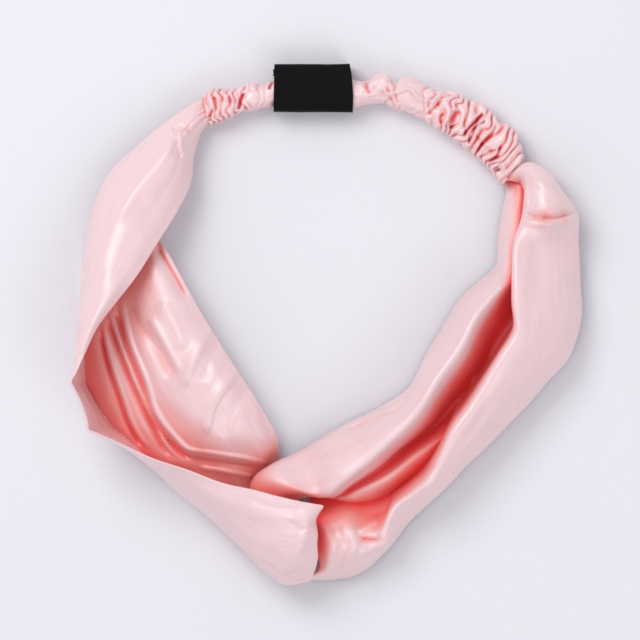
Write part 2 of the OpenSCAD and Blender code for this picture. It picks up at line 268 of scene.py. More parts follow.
def paint_fold_shade(pieces, solids, reach=0.034, step=4, rays=24):
    """Gives each face of each piece a "fold" value per point: 0 in the open, 1 deep in a fold,
    where painted shade and painted light bounced between the satin's faces turn it coral. solids are the
    pieces that shade it."""
    verts, faces = [], []
    for piece in solids:
        shift = len(verts)
        verts += [v.co.copy() for v in piece.data.vertices]
        faces += [tuple(i + shift for i in f.vertices) for f in piece.data.polygons]
    tree = BVHTree.FromPolygons(verts, faces)
    fans = []
    for k in range(rays):
        up = math.sqrt(1 - (k + 0.5) / rays)
        turn = k * GOLDEN_ANGLE
        flat = math.sqrt(1 - up * up)
        fans.append(Vector((flat * math.cos(turn), flat * math.sin(turn), up)))
    for piece in pieces:
        rows, sides = piece["rows"], piece["sides"]
        half = sides // 2
        mesh = piece.data
        places = np.array([v.co.z for v in mesh.vertices]).reshape(rows, sides) / MM
        facing = np.array([v.normal.z for v in mesh.vertices]).reshape(rows, sides)
        picked_rows = sorted({*range(0, rows, step), rows - 1})
        picked_cols = sorted({*range(0, half, 2), half - 1})
        inward = np.clip(np.minimum(np.arange(half), np.arange(half)[::-1]) / 6, 0, 1)
        faces_of_cloth = []
        for order in (np.arange(half), np.arange(sides - 1, half - 1, -1)):
            found = np.zeros((len(picked_rows), len(picked_cols)))
            for a, i in enumerate(picked_rows):
                for b, k in enumerate(picked_cols):
                    seen = mesh.vertices[i * sides + int(order[k])]
                    turn = Vector((0, 0, 1)).rotation_difference(seen.normal)
                    start = seen.co + seen.normal * 0.0004
                    shut = 0.0
                    for ray in fans:
                        way = turn @ ray
                        if way.z < 0.02:
                            continue
                        hit = tree.ray_cast(start, way, reach)
                        if hit[0] is not None:
                            shut += 1 - 0.5 * hit[3] / reach
                    found[a, b] = shut / rays
            for axis in (0, 1):
                last = found.shape[axis] - 1
                found = (np.take(found, [0, *range(last)], axis) + 2 * found
                         + np.take(found, [*range(1, last + 1), last], axis)) / 4
            found *= piece["depth"]
            across = np.array([np.interp(range(half), picked_cols, row) for row in found])
            whole = np.array([np.interp(range(rows), picked_rows, across[:, k]) for k in range(half)]).T
            # Painted highlight and shade: crests are painted paler and creases deeper than the fold that
            # they are in.
            heights = places[:, order]
            padded = np.pad(heights, ((0, 0), (5, 5)), mode="edge")
            soft = sum(padded[:, k:k + half] for k in range(11)) / 11
            relief = (heights - soft) * np.clip(facing[:, order], 0, 1) * inward
            faces_of_cloth.append(np.clip(whole - 0.20 * relief * (0.25 + whole), 0, 1))
        ring = np.concatenate([faces_of_cloth[0], faces_of_cloth[1][:, ::-1]], axis=1).ravel()
        mesh.attributes.new("fold", "FLOAT", "POINT").data.foreach_set("value", ring.astype(np.float32))


# ---------------------------------------------------------------- materials
def new_material(name):
    material = bpy.data.materials.new(name)
    material.use_nodes = True
    nodes, links = material.node_tree.nodes, material.node_tree.links
    return material, nodes, links, nodes["Principled BSDF"]


# The satin's base colour at each fold value: pale pink in the open, with painted shade turning it coral and
# red deep in a fold
SATIN_SHADE_STOPS = (
    (0.05, (0.90, 0.64, 0.645)),
    (0.27, (0.93, 0.34, 0.30)),
    (0.58, (0.95, 0.09, 0.085)),
)


def satin(name, roughness=0.38):
    """Silk satin: a fine diagonal weave, a long soft highlight, faint slubs, and painted shade in its folds.
    """
    material, nodes, links, shader = new_material(name)
    uv = nodes.new("ShaderNodeUVMap")
    uv.uv_map = "cloth"
    slub = nodes.new("ShaderNodeMapping")
    slub.inputs["Scale"].default_value = (90, 900, 1)
    links.new(uv.outputs["UV"], slub.inputs["Vector"])
    mottle = nodes.new("ShaderNodeTexNoise")
    mottle.inputs["Scale"].default_value = 1.0
    mottle.inputs["Detail"].default_value = 3
    links.new(slub.outputs["Vector"], mottle.inputs["Vector"])
    fold = nodes.new("ShaderNodeAttribute")
    fold.attribute_name = "fold"
    # Painted shade: the fold value picks the base colour, pale pink in the open to coral red deep in a fold.
    depth = nodes.new("ShaderNodeValToRGB")
    stops = depth.color_ramp.elements
    for stop, (fold_value, colour) in zip(stops, SATIN_SHADE_STOPS[:2]):
        stop.position = fold_value
        stop.color = (*colour, 1)
    stops.new(SATIN_SHADE_STOPS[2][0]).color = (*SATIN_SHADE_STOPS[2][1], 1)
    links.new(fold.outputs["Fac"], depth.inputs["Fac"])
    ramp = nodes.new("ShaderNodeMapRange")
    ramp.inputs["From Min"].default_value = 0.35
    ramp.inputs["From Max"].default_value = 0.75
    ramp.inputs["To Min"].default_value = 1.0
    ramp.inputs["To Max"].default_value = 0.93
    links.new(mottle.outputs["Fac"], ramp.inputs["Value"])
    mix = nodes.new("ShaderNodeMixRGB")
    mix.blend_type = "MULTIPLY"
    mix.inputs["Fac"].default_value = 1.0
    links.new(depth.outputs["Color"], mix.inputs["Color1"])
    links.new(ramp.outputs["Result"], mix.inputs["Color2"])
    links.new(mix.outputs["Color"], shader.inputs["Base Color"])
    weave = nodes.new("ShaderNodeTexWave")
    weave.wave_type = "BANDS"
    weave.bands_direction = "DIAGONAL"
    weave.inputs["Scale"].default_value = 900
    weave.inputs["Distortion"].default_value = 0.6
    links.new(uv.outputs["UV"], weave.inputs["Vector"])
    bump = nodes.new("ShaderNodeBump")
    bump.inputs["Strength"].default_value = 0.10
    bump.inputs["Distance"].default_value = 0.00004
    links.new(weave.outputs["Fac"], bump.inputs["Height"])
    slub_bump = nodes.new("ShaderNodeBump")
    slub_bump.inputs["Strength"].default_value = 0.25
    slub_bump.inputs["Distance"].default_value = 0.00008
    links.new(mottle.outputs["Fac"], slub_bump.inputs["Height"])
    links.new(bump.outputs["Normal"], slub_bump.inputs["Normal"])
    links.new(slub_bump.outputs["Normal"], shader.inputs["Normal"])
    shader.inputs["Roughness"].default_value = roughness
    shader.inputs["Specular IOR Level"].default_value = 1.0
    shader.inputs["Sheen Weight"].default_value = 0.15
    shader.inputs["Sheen Roughness"].default_value = 0.4
    shader.inputs["Anisotropic"].default_value = 0.5
    return material


def thread(name, colour):
    """Twisted sewing thread."""
    material, nodes, links, shader = new_material(name)
    where = nodes.new("ShaderNodeTexCoord")
    twist = nodes.new("ShaderNodeTexWave")
    twist.bands_direction = "DIAGONAL"
    twist.inputs["Scale"].default_value = 1400
    links.new(where.outputs["Object"], twist.inputs["Vector"])
    bump = nodes.new("ShaderNodeBump")
    bump.inputs["Strength"].default_value = 0.5
    bump.inputs["Distance"].default_value = 0.0001
    links.new(twist.outputs["Fac"], bump.inputs["Height"])
    links.new(bump.outputs["Normal"], shader.inputs["Normal"])
    tint = nodes.new("ShaderNodeMixRGB")
    tint.inputs["Color1"].default_value = (*colour, 1)
    tint.inputs["Color2"].default_value = (*[c * 0.75 for c in colour], 1)
    links.new(twist.outputs["Fac"], tint.inputs["Fac"])
    links.new(tint.outputs["Color"], shader.inputs["Base Color"])
    shader.inputs["Roughness"].default_value = 0.6
    return material


def woven(name, colour, light, pitch, roughness):
    """A plain weave of flat yarns, with each yarn lit a little along its crown."""
    material, nodes, links, shader = new_material(name)
    where = nodes.new("ShaderNodeTexCoord")
    heights = []
    for direction in ("X", "Y"):
        yarn = nodes.new("ShaderNodeTexWave")
        yarn.bands_direction = direction
        yarn.inputs["Scale"].default_value = 0.31 / pitch
        yarn.inputs["Distortion"].default_value = 0.4
        links.new(where.outputs["Object"], yarn.inputs["Vector"])
        heights.append(yarn)
    both = nodes.new("ShaderNodeMath")
    both.operation = "MULTIPLY"
    links.new(heights[0].outputs["Fac"], both.inputs[0])
    links.new(heights[1].outputs["Fac"], both.inputs[1])
    tint = nodes.new("ShaderNodeMixRGB")
    tint.inputs["Color1"].default_value = (*colour, 1)
    tint.inputs["Color2"].default_value = (*light, 1)
    links.new(both.outputs["Value"], tint.inputs["Fac"])
    links.new(tint.outputs["Color"], shader.inputs["Base Color"])
    bump = nodes.new("ShaderNodeBump")
    bump.inputs["Strength"].default_value = 0.5
    bump.inputs["Distance"].default_value = 0.00012
    links.new(both.outputs["Value"], bump.inputs["Height"])
    links.new(bump.outputs["Normal"], shader.inputs["Normal"])
    shader.inputs["Roughness"].default_value = roughness
    shader.inputs["Specular IOR Level"].default_value = 0.10
    return material


satin_left = satin("satin_left")
satin_right = satin("satin_right")
satin_casing = satin("satin_casing", 0.36)
pink_thread = thread("pink_thread", (0.86, 0.52, 0.50))
black_thread = thread("black_thread", (0.014, 0.014, 0.016))
label_cloth = woven("label_cloth", (0.002, 0.002, 0.0022), (0.010, 0.010, 0.011), 0.0004, 0.7)
elastic_cloth = woven("elastic_cloth", (0.72, 0.70, 0.66), (0.9, 0.89, 0.86), 0.0008, 0.8)

# ---------------------------------------------------------------- the left band
# Sections from the upper gathered end, over the outside of the ring, down through the knot and
# back along the inside. Each runs from the edge that faces the middle of the ring to the other.
LEFT = [
    even((-34.9, 75.9, 7.5), (-38.1, 83.3, 7.5), 5),
    even((-40.4, 73.3, 7.5), (-43.6, 80.7, 7.5), 5),
    [(-45.2, 69.2, 8), (-46.6, 70.8, 12), (-47.6, 73.2, 13.5), (-48.6, 75.6, 12), (-49.3, 77.6, 7)],
    [(-48.2, 60.5, 9), (-50.8, 64, 15), (-53.2, 67, 17), (-56, 70, 13), (-58, 72, 5)],
    [(-49.5, 49.5, 12), (-54, 52.5, 19), (-59, 56, 22), (-65, 60, 17), (-69, 63, 6)],
    [(-54, 40, 16), (-59, 42.5, 21), (-66, 47, 24), (-74, 52, 17), (-78, 54, 6)],
    [(-61, 28.5, 21), (-67, 31, 26), (-74, 34.5, 26), (-80.5, 37, 20), (-85, 38.5, 7)],
    [(-69.5, 15, 26), (-74, 16, 30), (-80, 17, 30), (-85.5, 18, 22), (-88.5, 18.5, 5)],
    [(-77, 5.5, 30), (-80, 6, 34), (-84.5, 6.5, 31), (-88.3, 7, 20), (-88.5, 7, 3)],
    [(-82.5, -2, 32.5), (-84.5, -2, 35), (-87.5, -2, 32), (-89.6, -2, 19), (-88.6, -2, 2)],
    [(-87, -12, 34), (-88.2, -12, 34), (-89.6, -11.8, 25), (-90, -11.4, 13), (-88.2, -11, 1.5)],
    [(-90.2, -18.4, 34.8), (-90.4, -18.6, 32), (-90.4, -18.8, 22), (-89.4, -19, 10), (-88, -19.4, 1)],
    [(-91.7, -21.3, 35), (-91.6, -21.5, 28), (-90.8, -22, 18), (-89.2, -22.5, 8), (-87.5, -23, 1)],
    [(-90.3, -24.4, 34.8), (-90, -24.6, 27), (-88.8, -25.2, 17), (-87.4, -25.6, 8), (-85.8, -26, 1)],
    [(-88, -29.5, 34), (-87.4, -29.8, 26), (-86, -30.5, 16), (-84.5, -31, 8), (-82.5, -31.5, 1)],
    [(-86, -36, 34), (-85.2, -36.2, 27), (-83.8, -36.2, 17), (-81.6, -36, 8), (-79.4, -35, 1)],
    [(-85.5, -38.5, 34), (-84.6, -38.7, 27), (-83, -38.5, 17), (-80.5, -38, 8), (-78, -37, 1)],
    [(-83, -39.5, 33.8), (-82.4, -39.9, 26.6), (-81, -40, 16.6), (-78.8, -39.6, 8), (-76.4, -38.6, 1)],
    [(-75, -43, 33), (-75, -43.7, 26), (-74, -43.9, 16), (-72.5, -43.6, 8), (-71, -42.5, 1)],
    [(-62, -48.7, 32), (-62.5, -50.2, 25), (-62.6, -52.3, 16), (-62, -53.2, 8), (-60.5, -53, 1)],
    [(-50, -52.7, 31), (-51, -55.7, 27), (-52.5, -59.3, 18), (-53.2, -61.3, 9), (-52, -61.5, 1)],
    [(-38, -57.3, 30), (-40, -62, 28), (-42, -67, 20), (-43.3, -69.5, 10), (-42.5, -70, 2)],
    [(-27, -59.7, 30), (-29, -66.5, 29.5), (-31.5, -73.5, 23), (-33.2, -78.5, 13), (-32.5, -79.5, 4)],
    [(-17, -62.3, 30), (-18.5, -69.5, 31), (-20.5, -79, 27), (-23, -87, 18), (-22.8, -89.5, 10)],
    [(-9, -64.1, 30), (-10.5, -71, 31.5), (-12, -80, 30), (-15, -89, 23), (-15.5, -94, 15)],
    [(-4.5, -64.9, 29), (-7.5, -71, 31), (-8.5, -78, 30.5), (-11, -85, 27), (-12.6, -94, 15.5)],
    [(-1.8, -65.5, 27.5), (-5.8, -71, 28.6), (-6, -77, 28), (-8, -84, 25), (-10.4, -93.6, 15)],
    [(-4.6, -67.5, 25), (-5, -71.5, 24.5), (-4.2, -78, 24), (-4.4, -85, 21.5), (-6.8, -92.4, 16)],
    [(-7, -67.8, 21.5), (-7.2, -71.8, 21), (-6.8, -78, 20.5), (-7.2, -84.5, 19.2), (-8.4, -89, 16.4)],
    [(-8.2, -68, 16), (-8.6, -72, 15), (-8.8, -78, 14), (-9.2, -82.2, 13), (-9.8, -84.6, 11.5)],
    [(-8.2, -67.5, 8), (-8.8, -72, 7.5), (-9.2, -78, 7), (-10, -82.4, 6.4), (-10.6, -85.8, 5.6)],
    [(-9, -66, 2), (-10, -72, 1.2), (-11, -77.5, 1.2), (-12.2, -82.5, 1.2), (-13.5, -86.5, 1.6)],
    [(-12, -60, 2), (-14.8, -65.5, 1.2), (-18, -71, 1.2), (-21, -76.5, 1.2), (-24.5, -81, 1.4)],
    [(-17.5, -49.5, 3), (-22, -53, 4.5), (-28, -58.5, 3.5), (-34.5, -64, 2), (-41, -68, 1.2)],
    [(-18.6, -41, 8), (-24, -44.5, 13), (-32, -49, 13), (-41.5, -54.5, 7), (-51, -57.5, 1.5)],
    [(-24, -31, 13), (-30, -34.5, 20), (-39, -40, 20), (-50, -46, 12), (-64, -51, 1)],
    [(-31, -20, 15), (-37, -24, 22), (-47, -30, 21), (-59, -37, 12), (-74, -43, 1)],
    [(-38.5, -8, 15), (-45, -12, 22), (-54, -18, 21), (-66, -26, 12), (-82.5, -34.5, 1)],
    [(-46, 4, 15), (-52, 0, 21), (-60, -6, 20), (-71, -13.5, 11), (-88, -22, 1)],
    [(-51, 13, 15), (-56, 9, 20), (-63, 4, 18), (-73, -2, 10), (-88, -8, 1)],
    [(-56.5, 23.5, 14), (-61, 19, 18), (-67, 14, 16), (-76, 9, 9), (-87.3, 5, 1)],
    [(-61.5, 32, 11), (-65, 30, 13), (-70, 26, 11), (-76, 23, 7), (-82, 20, 2)],
    [(-60, 43, 9), (-63, 41.5, 10), (-68, 39, 9), (-73, 37, 6), (-78, 36, 2)],
    [(-54, 55, 7), (-57, 54.5, 8), (-61, 53.5, 7), (-65, 54, 5), (-68, 55, 2.5)],
    [(-48.5, 64, 5), (-51, 65, 5.5), (-53, 66.5, 5), (-55, 68, 4), (-57, 69.5, 3)],
    even((-40.4, 73.3, 4.6), (-43.6, 80.7, 4.6), 5),
    even((-34.9, 75.9, 4.6), (-38.1, 83.3, 4.6), 5),
]

# Sections from the lower gathered end, down the inside of the ring, round the knot and back up
# the outside. Each runs from the edge inside the fold between the two arms to the outer one.
RIGHT = [
    even((64, 61.8, 4.6), (57.6, 57, 4.6), 6),
    even((68.2, 56.2, 4.6), (61.8, 51.4, 4.6), 6),
    [(71.5, 50, 5), (70, 49.6, 6), (68.5, 49.3, 6.5), (67, 49, 6), (65.5, 48.5, 5), (64, 48, 4)],
    [(74, 40, 3), (72, 40, 7), (69, 40, 9), (66.5, 40, 8.5), (64.5, 40.5, 6), (63, 41, 2)],
    [(76, 26, 3), (73, 26, 9), (68, 27, 14), (65, 27.5, 13), (62.5, 28, 9), (61, 28.5, 2)],
    [(77, 12, 2), (71, 14, 10), (66, 17, 20), (63.5, 18.5, 18), (61.5, 20, 11), (60.5, 21, 2)],
    [(71, -4, 3), (68, -1.5, 5), (66, 1, 5), (63, 6, 13),
     (59.5, 11, 25), (57, 12.5, 20.5), (55.5, 14, 11.5), (54.5, 15, 2)],
    [(64.5, -15, 3), (62.5, -11, 5), (60.5, -7.5, 4), (57, -2, 14),
     (53, 3.5, 28), (50.5, 5.5, 23), (48.5, 7.5, 12.9), (47.5, 8.5, 2)],
    [(57.5, -29, 4), (56, -25, 7), (54, -20.5, 4), (50, -15, 15),
     (45.5, -10, 30), (43, -8, 24.6), (40.5, -5.5, 13.8), (39.5, -4.5, 2)],
    [(50, -39.5, 5), (48, -34.5, 12), (45.5, -29.5, 5), (42, -25, 16),
     (38, -20.5, 31), (35.5, -18, 25.4), (34.5, -14.5, 14.3), (34.5, -13.5, 2)],
    [(43, -47, 6), (40.5, -41.5, 15), (38, -37.5, 6), (35.5, -34.5, 17),
     (31.5, -31, 31), (29.5, -27.5, 25.4), (29, -24.5, 14.3), (29.5, -23.5, 2)],
    [(33.5, -54.5, 6), (30, -48.5, 16), (27.5, -45.5, 9), (25.5, -43.5, 18),
     (22.5, -41, 30), (19, -36.5, 24.6), (18, -32, 13.8), (18, -31, 2)],
    [(24, -61, 6), (20.5, -55.2, 16), (18.5, -53, 12), (16.5, -51.5, 18),
     (13.5, -49.5, 28), (9.5, -43.5, 23), (8, -37, 12.9), (7.5, -36, 2)],
    [(14, -65, 6), (10.5, -60, 15.5), (9, -58.8, 13), (7.5, -58, 18),
     (5, -56.5, 26), (1, -49.5, 21.3), (-1.5, -42.5, 12), (-2, -41.5, 3)],
    [(7, -66, 5), (4.5, -63, 13.5), (2.5, -62.8, 12.5), (0.5, -62.5, 16),
     (-2.5, -61.8, 22.5), (-7, -55.5, 18.4), (-10.5, -48, 10.3), (-11, -47, 5)],
    [(-4, -62.6, 5), (-7, -62.2, 14), (-11, -61.2, 21),
     (-16, -56.5, 20), (-19.5, -51.8, 14), (-20, -51.2, 8)],
    [(-12.5, -64, 4.5), (-14.5, -63.5, 13), (-17, -62.5, 19),
     (-21, -59, 18.5), (-25.3, -55.7, 13), (-25.8, -55.2, 7.5)],
    [(-18.5, -71.5, 4.5), (-19.2, -71, 9), (-20.5, -69.5, 15),
     (-24, -65.5, 15), (-27, -61.5, 11), (-27.5, -61, 6.5)],
    [(-19.2, -78.5, 12.5), (-19.4, -78.5, 11.5), (-19.6, -78.3, 10),
     (-20, -78, 8.5), (-20.4, -77.6, 7), (-20.6, -77.4, 5.5)],
    [(-16.6, -85.2, 12.5), (-16.8, -85.4, 11), (-17, -85.6, 9.5),
     (-17.2, -85.8, 8), (-17.4, -86, 6.5), (-17.6, -86.2, 4.5)],
    [(-11, -89.8, 12), (-11.1, -90, 10.9), (-11.2, -90.2, 9.5),
     (-11.3, -90.5, 8), (-11.4, -90.8, 6), (-11.5, -91, 4)],
    [(-6, -91, 11.3), (-6, -91.2, 10.6), (-6, -91.5, 9.5), (-6, -91.8, 8), (-6, -92.1, 5), (-6, -92.4, 2.5)],
    [(-3.4, -88.2, 12), (-2.8, -89, 12), (-2.1, -89.8, 11.5),
     (-1.5, -90.8, 9), (-1.1, -91.8, 6), (-0.9, -92.5, 2)],
    [(-5.2, -79, 15), (-2.4, -81, 17), (0.6, -84.5, 17), (2.6, -88, 12.5), (3.5, -90.6, 7), (3.7, -92, 2)],
    [(-5.5, -61, 3), (-1, -71.5, 16), (3.4, -77.5, 19.5), (6.6, -83, 18), (8.4, -88.3, 10), (8.8, -91, 2)],
    [(3, -58, 5), (6.4, -69.5, 14), (8.8, -76, 18.5), (11, -81.5, 18.5), (12.6, -86.5, 10), (13, -88.8, 2)],
    [(13.5, -62, 5), (13, -69, 10), (12.8, -76.5, 16),
     (14.6, -80.5, 16.5), (15.8, -84.6, 10), (16.4, -86, 2)],
    [(21, -60, 5), (20, -68, 9), (18.7, -77.8, 18), (20, -79.2, 17), (21.4, -79.9, 10), (21.8, -80.2, 2)],
    [(25, -57, 4), (24, -61.5, 9), (23.5, -67.5, 20), (25.5, -69.6, 16.8), (28, -71.6, 9.6), (28.5, -72, 2)],
    [(30, -51, 4), (29.5, -56, 9), (30, -62.2, 22), (32.4, -64, 18.5), (35, -65.2, 10.6), (35.5, -65, 2)],
    [(36, -44, 4), (35, -50, 9), (36.5, -57.5, 24), (39.5, -58.7, 20.2), (42.3, -58.7, 11.5), (43, -58, 2)],
    [(42, -36, 4), (40, -42, 9), (40.7, -50.5, 25), (44.5, -52.3, 21), (48, -52.6, 12), (49, -51.5, 2)],
    [(48, -27, 4), (45.5, -33, 9), (45.6, -40, 26), (50.5, -43.5, 21.8), (55, -45.6, 12.5), (56, -44.6, 2)],
    [(54, -19, 4), (51.5, -25, 9), (52, -31, 26), (57.5, -34.5, 21.8), (63, -37.2, 12.5), (64, -36.4, 2)],
    [(60, -11, 4), (57.5, -16.5, 10), (57, -22, 26), (64, -26, 21.8), (70.5, -29.6, 12.5), (71.5, -28.8, 2)],
    [(65, -3, 4), (63, -8, 10), (62.5, -12.5, 27), (70, -17, 22.7), (78, -20.8, 13), (79, -19.8, 2)],
    [(69, 4, 4), (67.5, 1, 10), (67.5, -4, 27), (76, -7.5, 22.7), (85.5, -12, 13), (86.8, -11, 2)],
    [(70, 10, 4), (67.5, 9, 11), (67, 6, 27), (77, 4, 22.7), (88.5, 2, 13), (90.8, 1, 2.5)],
    [(70, 20, 4), (68, 19, 11), (66.6, 17.5, 25), (77, 17, 21), (88, 16, 12), (90.3, 16, 5)],
    [(70, 30, 5), (68.5, 29, 11), (67, 27.5, 22), (77, 28.5, 18.5), (87.5, 29, 10.6), (89.8, 29, 8)],
    [(71.5, 38, 6), (70.5, 37.5, 10), (70, 37.5, 18), (78, 38, 23), (86.5, 39, 17), (89, 39.5, 10)],
    [(72, 44, 7), (71, 45, 11), (71, 46, 17), (76.5, 47, 21), (82.5, 46.5, 17), (84.6, 45.5, 12)],
    [(69.5, 49.5, 7.5), (70, 51, 11), (71.5, 52, 15), (75, 53, 17), (78.5, 53, 15), (79.6, 51.8, 12)],
    [(66, 51, 8), (67.5, 53, 10), (69, 54.5, 12), (71, 56, 12.5), (72.6, 56.6, 11), (73.4, 56.6, 10)],
    even((61.8, 51.4, 7.5), (68.2, 56.2, 7.5), 6),
    even((57.6, 57, 7.5), (64, 61.8, 7.5), 6),
]

CLOTH_T = 0.8
BAND_ROWS = 700
LEFT_COLS, RIGHT_COLS = 121, 127
left_grid, left_at = loft(LEFT, BAND_ROWS, LEFT_COLS)
right_grid, right_at = loft(RIGHT, BAND_ROWS, RIGHT_COLS)
# The shares of each band's run that its inner run, its outer run and its flap take up
INSIDE_L = (left_at[32], left_at[43])
OUTSIDE_L = (left_at[1], left_at[9])
FLAP_L = (left_at[20], left_at[26])
INSIDE_R = (right_at[2], right_at[16])
OUTSIDE_R = (right_at[22], right_at[42])

for grid, amount, seed, neck in ((left_grid, 0.5, 3.1, 0.10), (right_grid, 0.55, 8.7, 0.10)):
    u = np.linspace(0, 1, len(grid))[:, None]
    from_end = np.minimum(u, 1 - u)
    gathered = smoothstep(neck, 0.02, from_end) * smoothstep(0.004, 0.02, from_end)
    wrinkles(grid, amount, 38, 9, seed)
    wrinkles(grid, amount * 0.45, 14, 5, seed + 20)
    wrinkles(grid, gathered * 0.7, 40, 3.4, seed + 40)

# Pleats of the left band's inner run, each [line, depth, sharp width, soft width, lip]
for line, depth, near, far, lip in (
    ([(-82, 0), (-79, -14), (-75, -26), (-71, -37), (-67.5, -43), (-64, -47)], 2.6, 0.6, 1.6, 0.9),
    ([(-80, 5), (-74, -12), (-69, -24), (-63, -37), (-57, -47), (-53, -50)], 2.8, 0.6, 1.7, 1.0),
    ([(-76, 10), (-72, -8), (-67, -20), (-62, -34), (-55, -43), (-47, -50)], 3.2, 0.8, 2.2, 1.1),
    ([(-72, 9), (-68, 0), (-64, -6), (-58, -14), (-54, -22)], 1.3, 1.6, 3.0, 0.0),
    ([(-66, -23), (-60.7, -35), (-51, -45), (-41, -46.8), (-30, -48.6), (-19, -51)], -1.3, 0.7, 1.0, 0.0),
    ([(-66, -30), (-60, -39.5), (-51, -47.6), (-41, -49.4), (-30, -51), (-22, -52.6)], 2.0, 0.7, 2.0, 0.0),
    ([(-47, -52), (-36, -53.6), (-26, -55.6)], -1.2, 0.6, 0.8, 0.0),
    ([(-62, 28), (-57.8, 21), (-54.4, 15), (-50.6, 8)], 1.8, 0.8, 2.4, 0.4),
    ([(-66, 1.5), (-60, -9), (-54.5, -20)], 1.8, 1.2, 3.0, 0.5),
    ([(-41, -1), (-43.5, -5), (-48.2, -14.4), (-51.5, -24)], -1.5, 1.3, 2.6, 0.0),
    ([(-38, -4), (-42, -12), (-45, -22)], 1.1, 1.8, 2.4, 0.0),
    ([(-31.5, -15), (-34, -19), (-41, -29.7), (-44, -41)], -1.4, 1.2, 2.6, 0.0),
    ([(-28, -22), (-34, -31), (-38, -41)], 1.0, 1.8, 2.6, 0.0),
    ([(-60, 8), (-54, -2), (-51, -10)], -0.9, 1.6, 3.0, 0.0),
    ([(-27, -26), (-25.5, -34), (-22.5, -44)], -0.7, 1.2, 1.8, 0.0),
):
    crease(left_grid, line, depth, near, far, INSIDE_L, lip)
# The smooth outer run, its pinch at the neck, and the flap over the knot
for line, depth, near, far, rows, lip in (
    ([(-49, 68.7), (-52, 68.9), (-56, 68.4)], 1.6, 0.5, 1.4, OUTSIDE_L, 0.5),
    ([(-54.6, 68), (-54.2, 64), (-53.2, 58)], 1.2, 0.7, 2.2, OUTSIDE_L, 0.3),
    ([(-49.5, 74), (-55, 66), (-62, 56), (-70, 46), (-76, 34)], -1.0, 2.5, 3.5, OUTSIDE_L, 0.0),
    ([(-62, 44), (-70, 30), (-77, 16)], 0.8, 4.0, 5.0, OUTSIDE_L, 0.0),
    ([(-15, -71), (-11, -73), (-8, -74.6)], 0.8, 1.0, 2.2, FLAP_L, 0.2),
    ([(-24, -84.5), (-15, -90), (-8, -89)], 0.9, 0.6, 1.4, FLAP_L, 0.3),
    ([(-20, -88), (-13, -92), (-8, -91.2)], 0.7, 0.5, 1.2, FLAP_L, 0.2),
    ([(-36, -66), (-26, -72), (-16, -74)], 0.7, 3.0, 3.5, FLAP_L, 0.0),
    ([(-30, -62.5), (-20, -66), (-8, -67)], 0.5, 1.2, 2.0, FLAP_L, 0.0),
):
    crease(left_grid, line, depth, near, far, rows, lip)
# The right band's inner run, round the knot, and its outer run
for line, depth, near, far, rows, lip in (
    ([(6, -39.5), (16, -35.4), (24, -31.8), (30, -25.8)], 2.2, 1.0, 0.7, INSIDE_R, 0.7),
    ([(1.5, -61.5), (9.5, -55), (18, -48.4), (26.5, -40)], 0.6, 0.8, 0.8, INSIDE_R, 0.0),
    ([(-18, -53), (-8, -50), (4, -44), (14, -40)], 0.8, 2.0, 2.4, INSIDE_R, 0.0),
    ([(36, -16), (44, -2), (52, 8), (60, 17)], 0.7, 1.6, 2.0, INSIDE_R, 0.0),
    ([(51, -22.5), (56, -19), (61, -15.5)], -1.6, 1.0, 1.2, INSIDE_R, 0.0),
    ([(4, -71), (6.5, -79), (3, -90)], 1.0, 1.4, 2.2, OUTSIDE_R, 0.2),
    ([(1.5, -72), (3, -80), (0.5, -88)], 0.7, 1.2, 1.8, OUTSIDE_R, 0.1),
    ([(9.5, -73), (11.5, -79), (8, -88)], 0.8, 1.4, 1.6, OUTSIDE_R, 0.0),
    ([(10.5, -76), (14, -73.2), (18.5, -71)], -1.4, 0.9, 1.1, OUTSIDE_R, 0.0),
    ([(11.5, -77.5), (16, -78), (18.5, -76)], 1.2, 0.8, 1.2, OUTSIDE_R, 0.0),
    ([(10, -62), (20, -60), (30, -56), (40, -50)], 1.2, 0.7, 1.0, OUTSIDE_R, 0.0),
    ([(69.2, 58), (69.3, 48), (70, 39)], 3.0, 0.7, 1.6, OUTSIDE_R, 0.8),
    ([(69, 38.6), (74, 37.4), (81, 37.2), (91, 40.5)], 2.2, 1.4, 0.7, OUTSIDE_R, 0.0),
    ([(69, 36.8), (74, 35.4), (81, 35.4), (91, 38.6)], -1.2, 0.8, 1.4, OUTSIDE_R, 0.0),
    ([(72, 52), (78, 48.5), (84, 43)], -1.0, 1.6, 1.8, OUTSIDE_R, 0.0),
    ([(74, 30), (74, 12), (70, -2)], 0.8, 3.0, 4.0, OUTSIDE_R, 0.0),
    ([(60, -26), (48, -42), (36, -58)], 0.6, 2.5, 3.0, OUTSIDE_R, 0.0),
):
    crease(right_grid, line, depth, near, far, rows, lip)

left_cloth = cloth_mesh("left_band_cloth", left_grid, CLOTH_T)
right_cloth = cloth_mesh("right_band_cloth", right_grid, CLOTH_T)
left_cloth.data.materials.append(satin_left)
right_cloth.data.materials.append(satin_right)
for cloth, body, slot, node in (
    (left_cloth, "left_side", "satin_left", "left_band"),
    (right_cloth, "right_side", "satin_right", "right_band"),
):
    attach(cloth, body)
    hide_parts(node)


casing_low, casing_high = (np.array(corner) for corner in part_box("elastic_casing"))
CASING_Z = float((casing_low[2] + casing_high[2]) / 2 - ORIGIN[2]) / MM
